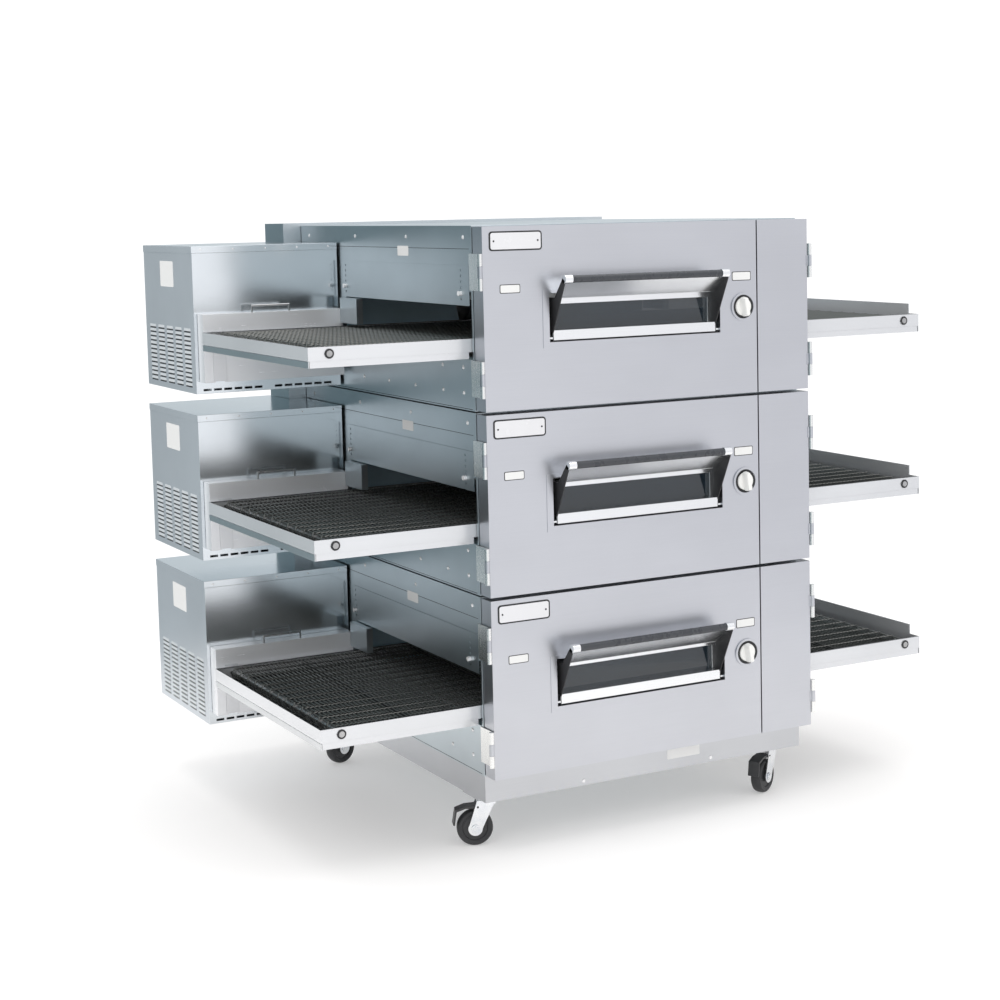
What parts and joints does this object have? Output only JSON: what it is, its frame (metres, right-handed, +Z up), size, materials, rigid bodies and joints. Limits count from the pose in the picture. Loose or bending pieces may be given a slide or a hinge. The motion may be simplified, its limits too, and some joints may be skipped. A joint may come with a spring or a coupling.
{
  "type": "conveyor pizza oven",
  "caption": "Stacked conveyor pizza oven on casters: belts carry food through heated tunnels, with doors, drop-down windows, side control boxes and crumb trays.",
  "frame": {"origin": "on the floor, under the middle of the whole oven's footprint", "axes": "+X from the entry end to the exit end of the belts, +Y from the doors to the back, +Z up"},
  "size_m": [1.981, 1.533, 1.727],
  "materials": {
    "door_steel": "fine brushed stainless, soft lavender grey",
    "window_steel": "polished stainless rails, dark grip bar",
    "window_glass": "dark tempered glass",
    "latch_white": "white knob with a dark dial",
    "cabinet_steel": "brushed stainless, cool reflections",
    "control_box_steel": "brushed stainless",
    "conveyor_steel": "bright stainless rails",
    "cover_steel": "brushed stainless",
    "shaft_steel": "turned steel",
    "tray_steel": "plain stainless sheet",
    "fan_steel": "pressed steel",
    "caster_zinc": "bright zinc plate",
    "wheel_rubber": "black moulded rubber",
    "pedal_black": "black",
    "base_steel": "brushed stainless",
    "rear_steel": "brushed stainless",
    "hinge_steel": "bright stainless",
    "baffle_steel": "brushed stainless",
    "finger_aluminized": "aluminised sheet",
    "motor_grey": "dark grey paint",
    "belt_wire": "dark oven-browned wire with bright wear"
  },
  "bodies": {
    "oven": {"lower_body_shell": "cabinet_steel", "lower_control_box": "control_box_steel", "lower_conveyor_frame": "conveyor_steel", "middle_body_shell": "cabinet_steel", "middle_control_box": "control_box_steel", "middle_conveyor_frame": "conveyor_steel", "upper_body_shell": "cabinet_steel", "upper_control_box": "control_box_steel", "upper_conveyor_frame": "conveyor_steel", "base_frame": "base_steel", "rear_housing": "rear_steel", "hinge_leaves": "hinge_steel", "eyebrow_baffles": "baffle_steel", "air_fingers": "finger_aluminized", "blower_motors": "motor_grey", "conveyor_motors": "motor_grey", "wire_belts": "belt_wire"},
    "lower_front_door": {"lower_front_door": "door_steel"},
    "lower_window": {"lower_window_frame": "window_steel", "lower_window_glass": "window_glass"},
    "lower_service_door": {"lower_service_door": "door_steel"},
    "lower_latch_knob": {"lower_latch_knob": "latch_white"},
    "lower_drive_shaft": {"lower_drive_shaft": "shaft_steel"},
    "lower_idler_shaft": {"lower_idler_shaft": "shaft_steel"},
    "lower_drive_cover": {"lower_drive_cover": "cover_steel"},
    "lower_crumb_tray_left": {"lower_crumb_tray_left": "tray_steel"},
    "lower_crumb_tray_right": {"lower_crumb_tray_right": "tray_steel"},
    "lower_blower_fan": {"lower_blower_fan": "fan_steel"},
    "middle_front_door": {"middle_front_door": "door_steel"},
    "middle_window": {"middle_window_frame": "window_steel", "middle_window_glass": "window_glass"},
    "middle_service_door": {"middle_service_door": "door_steel"},
    "middle_latch_knob": {"middle_latch_knob": "latch_white"},
    "middle_drive_shaft": {"middle_drive_shaft": "shaft_steel"},
    "middle_idler_shaft": {"middle_idler_shaft": "shaft_steel"},
    "middle_drive_cover": {"middle_drive_cover": "cover_steel"},
    "middle_crumb_tray_left": {"middle_crumb_tray_left": "tray_steel"},
    "middle_crumb_tray_right": {"middle_crumb_tray_right": "tray_steel"},
    "middle_blower_fan": {"middle_blower_fan": "fan_steel"},
    "upper_front_door": {"upper_front_door": "door_steel"},
    "upper_window": {"upper_window_frame": "window_steel", "upper_window_glass": "window_glass"},
    "upper_service_door": {"upper_service_door": "door_steel"},
    "upper_latch_knob": {"upper_latch_knob": "latch_white"},
    "upper_drive_shaft": {"upper_drive_shaft": "shaft_steel"},
    "upper_idler_shaft": {"upper_idler_shaft": "shaft_steel"},
    "upper_drive_cover": {"upper_drive_cover": "cover_steel"},
    "upper_crumb_tray_left": {"upper_crumb_tray_left": "tray_steel"},
    "upper_crumb_tray_right": {"upper_crumb_tray_right": "tray_steel"},
    "upper_blower_fan": {"upper_blower_fan": "fan_steel"},
    "front_left_caster_fork": {"front_left_caster_fork": "caster_zinc"},
    "front_left_caster_wheel": {"front_left_caster_wheel": "wheel_rubber"},
    "front_right_caster_fork": {"front_right_caster_fork": "caster_zinc"},
    "front_right_caster_wheel": {"front_right_caster_wheel": "wheel_rubber"},
    "rear_left_caster_fork": {"rear_left_caster_fork": "caster_zinc"},
    "rear_left_caster_wheel": {"rear_left_caster_wheel": "wheel_rubber"},
    "rear_right_caster_fork": {"rear_right_caster_fork": "caster_zinc"},
    "rear_right_caster_wheel": {"rear_right_caster_wheel": "wheel_rubber"},
    "front_left_brake_pedal": {"front_left_brake_pedal": "pedal_black"},
    "front_right_brake_pedal": {"front_right_brake_pedal": "pedal_black"}
  },
  "joints": [
    {"name": "upper_front_door_hinge", "type": "hinge", "parent": "oven", "child": "upper_front_door", "pos_m": [-0.531, -0.6915, 1.47], "axis": [0, 0, -1], "range_deg": [0, 120]},
    {"name": "upper_service_door_hinge", "type": "hinge", "parent": "oven", "child": "upper_service_door", "pos_m": [0.531, -0.6915, 1.47], "axis": [0, 0, 1], "range_deg": [0, 120]},
    {"name": "upper_window_hinge", "type": "hinge", "parent": "upper_front_door", "child": "upper_window", "pos_m": [-0.0535, -0.6835, 1.412], "axis": [1, 0, 0], "range_deg": [0, 90]},
    {"name": "upper_latch_knob_turn", "type": "hinge", "parent": "upper_front_door", "child": "upper_latch_knob", "pos_m": [0.298, -0.6915, 1.472], "axis": [0, 1, 0], "range_deg": [0, 90]},
    {"name": "middle_front_door_hinge", "type": "hinge", "parent": "oven", "child": "middle_front_door", "pos_m": [-0.531, -0.6915, 0.97], "axis": [0, 0, -1], "range_deg": [0, 120]},
    {"name": "middle_service_door_hinge", "type": "hinge", "parent": "oven", "child": "middle_service_door", "pos_m": [0.531, -0.6915, 0.97], "axis": [0, 0, 1], "range_deg": [0, 120]},
    {"name": "middle_window_hinge", "type": "hinge", "parent": "middle_front_door", "child": "middle_window", "pos_m": [-0.0535, -0.6835, 0.912], "axis": [1, 0, 0], "range_deg": [0, 90]},
    {"name": "middle_latch_knob_turn", "type": "hinge", "parent": "middle_front_door", "child": "middle_latch_knob", "pos_m": [0.298, -0.6915, 0.972], "axis": [0, 1, 0], "range_deg": [0, 90]},
    {"name": "lower_front_door_hinge", "type": "hinge", "parent": "oven", "child": "lower_front_door", "pos_m": [-0.531, -0.6915, 0.47], "axis": [0, 0, -1], "range_deg": [0, 120]},
    {"name": "lower_service_door_hinge", "type": "hinge", "parent": "oven", "child": "lower_service_door", "pos_m": [0.531, -0.6915, 0.47], "axis": [0, 0, 1], "range_deg": [0, 120]},
    {"name": "lower_window_hinge", "type": "hinge", "parent": "lower_front_door", "child": "lower_window", "pos_m": [-0.0535, -0.6835, 0.412], "axis": [1, 0, 0], "range_deg": [0, 90]},
    {"name": "lower_latch_knob_turn", "type": "hinge", "parent": "lower_front_door", "child": "lower_latch_knob", "pos_m": [0.298, -0.6915, 0.472], "axis": [0, 1, 0], "range_deg": [0, 90]},
    {"name": "front_left_brake_pedal_press", "type": "hinge", "parent": "front_left_caster_fork", "child": "front_left_brake_pedal", "pos_m": [-0.49931, -0.52592, 0.1115], "axis": [0.342, 0.9397, 0], "range_deg": [0, 18]},
    {"name": "front_right_brake_pedal_press", "type": "hinge", "parent": "front_right_caster_fork", "child": "front_right_brake_pedal", "pos_m": [0.44851, -0.54907, 0.1115], "axis": [-0.4848, 0.8746, 0], "range_deg": [0, 18]},
    {"name": "front_left_caster_swivel", "type": "hinge", "parent": "oven", "child": "front_left_caster_fork", "pos_m": [-0.473, -0.5355, 0.12], "axis": [0, 0, 1], "continuous": true},
    {"name": "front_left_caster_roll", "type": "hinge", "parent": "front_left_caster_fork", "child": "front_left_caster_wheel", "pos_m": [-0.50683, -0.52319, 0.0508], "axis": [-0.342, -0.9397, 0], "continuous": true},
    {"name": "front_right_caster_swivel", "type": "hinge", "parent": "oven", "child": "front_right_caster_fork", "pos_m": [0.473, -0.5355, 0.12], "axis": [0, 0, 1], "continuous": true},
    {"name": "front_right_caster_roll", "type": "hinge", "parent": "front_right_caster_fork", "child": "front_right_caster_wheel", "pos_m": [0.44151, -0.55295, 0.0508], "axis": [0.4848, -0.8746, 0], "continuous": true},
    {"name": "upper_drive_shaft_spin", "type": "hinge", "parent": "oven", "child": "upper_drive_shaft", "pos_m": [-0.9325, -0.1915, 1.4], "axis": [0, 1, 0], "continuous": true},
    {"name": "upper_drive_cover_lift", "type": "slide", "parent": "oven", "child": "upper_drive_cover", "axis": [0, 0, 1], "range_m": [0, 0.15]},
    {"name": "upper_crumb_tray_left_slide", "type": "slide", "parent": "oven", "child": "upper_crumb_tray_left", "axis": [-1, 0, 0], "range_m": [0, 0.4]},
    {"name": "upper_crumb_tray_right_slide", "type": "slide", "parent": "oven", "child": "upper_crumb_tray_right", "axis": [1, 0, 0], "range_m": [0, 0.4]},
    {"name": "middle_drive_shaft_spin", "type": "hinge", "parent": "oven", "child": "middle_drive_shaft", "pos_m": [-0.9325, -0.1915, 0.9], "axis": [0, 1, 0], "continuous": true},
    {"name": "middle_drive_cover_lift", "type": "slide", "parent": "oven", "child": "middle_drive_cover", "axis": [0, 0, 1], "range_m": [0, 0.15]},
    {"name": "middle_crumb_tray_left_slide", "type": "slide", "parent": "oven", "child": "middle_crumb_tray_left", "axis": [-1, 0, 0], "range_m": [0, 0.4]},
    {"name": "middle_crumb_tray_right_slide", "type": "slide", "parent": "oven", "child": "middle_crumb_tray_right", "axis": [1, 0, 0], "range_m": [0, 0.4]},
    {"name": "lower_drive_shaft_spin", "type": "hinge", "parent": "oven", "child": "lower_drive_shaft", "pos_m": [-0.9325, -0.1915, 0.4], "axis": [0, 1, 0], "continuous": true},
    {"name": "lower_drive_cover_lift", "type": "slide", "parent": "oven", "child": "lower_drive_cover", "axis": [0, 0, 1], "range_m": [0, 0.15]},
    {"name": "lower_crumb_tray_left_slide", "type": "slide", "parent": "oven", "child": "lower_crumb_tray_left", "axis": [-1, 0, 0], "range_m": [0, 0.4]},
    {"name": "lower_crumb_tray_right_slide", "type": "slide", "parent": "oven", "child": "lower_crumb_tray_right", "axis": [1, 0, 0], "range_m": [0, 0.4]},
    {"name": "rear_left_caster_swivel", "type": "hinge", "parent": "oven", "child": "rear_left_caster_fork", "pos_m": [-0.473, 0.4665, 0.12], "axis": [0, 0, 1], "continuous": true},
    {"name": "rear_left_caster_roll", "type": "hinge", "parent": "rear_left_caster_fork", "child": "rear_left_caster_wheel", "pos_m": [-0.50683, 0.45419, 0.0508], "axis": [0.342, -0.9397, 0], "continuous": true},
    {"name": "rear_right_caster_swivel", "type": "hinge", "parent": "oven", "child": "rear_right_caster_fork", "pos_m": [0.473, 0.4665, 0.12], "axis": [0, 0, 1], "continuous": true},
    {"name": "rear_right_caster_roll", "type": "hinge", "parent": "rear_right_caster_fork", "child": "rear_right_caster_wheel", "pos_m": [0.44182, 0.4845, 0.0508], "axis": [-0.5, -0.866, 0], "continuous": true},
    {"name": "upper_blower_fan_spin", "type": "hinge", "parent": "oven", "child": "upper_blower_fan", "pos_m": [0, 0.3085, 1.4705], "axis": [0, 1, 0], "continuous": true},
    {"name": "upper_idler_shaft_spin", "type": "hinge", "parent": "oven", "child": "upper_idler_shaft", "pos_m": [0.9325, -0.1915, 1.4], "axis": [0, 1, 0], "continuous": true},
    {"name": "middle_blower_fan_spin", "type": "hinge", "parent": "oven", "child": "middle_blower_fan", "pos_m": [0, 0.3085, 0.9705], "axis": [0, 1, 0], "continuous": true},
    {"name": "middle_idler_shaft_spin", "type": "hinge", "parent": "oven", "child": "middle_idler_shaft", "pos_m": [0.9325, -0.1915, 0.9], "axis": [0, 1, 0], "continuous": true},
    {"name": "lower_blower_fan_spin", "type": "hinge", "parent": "oven", "child": "lower_blower_fan", "pos_m": [0, 0.3085, 0.4705], "axis": [0, 1, 0], "continuous": true},
    {"name": "lower_idler_shaft_spin", "type": "hinge", "parent": "oven", "child": "lower_idler_shaft", "pos_m": [0.9325, -0.1915, 0.4], "axis": [0, 1, 0], "continuous": true}
  ],
  "couplings": [
    {"joint": "upper_idler_shaft_spin", "follows": "upper_drive_shaft_spin", "ratio": 1},
    {"joint": "middle_idler_shaft_spin", "follows": "middle_drive_shaft_spin", "ratio": 1},
    {"joint": "lower_idler_shaft_spin", "follows": "lower_drive_shaft_spin", "ratio": 1}
  ]
}
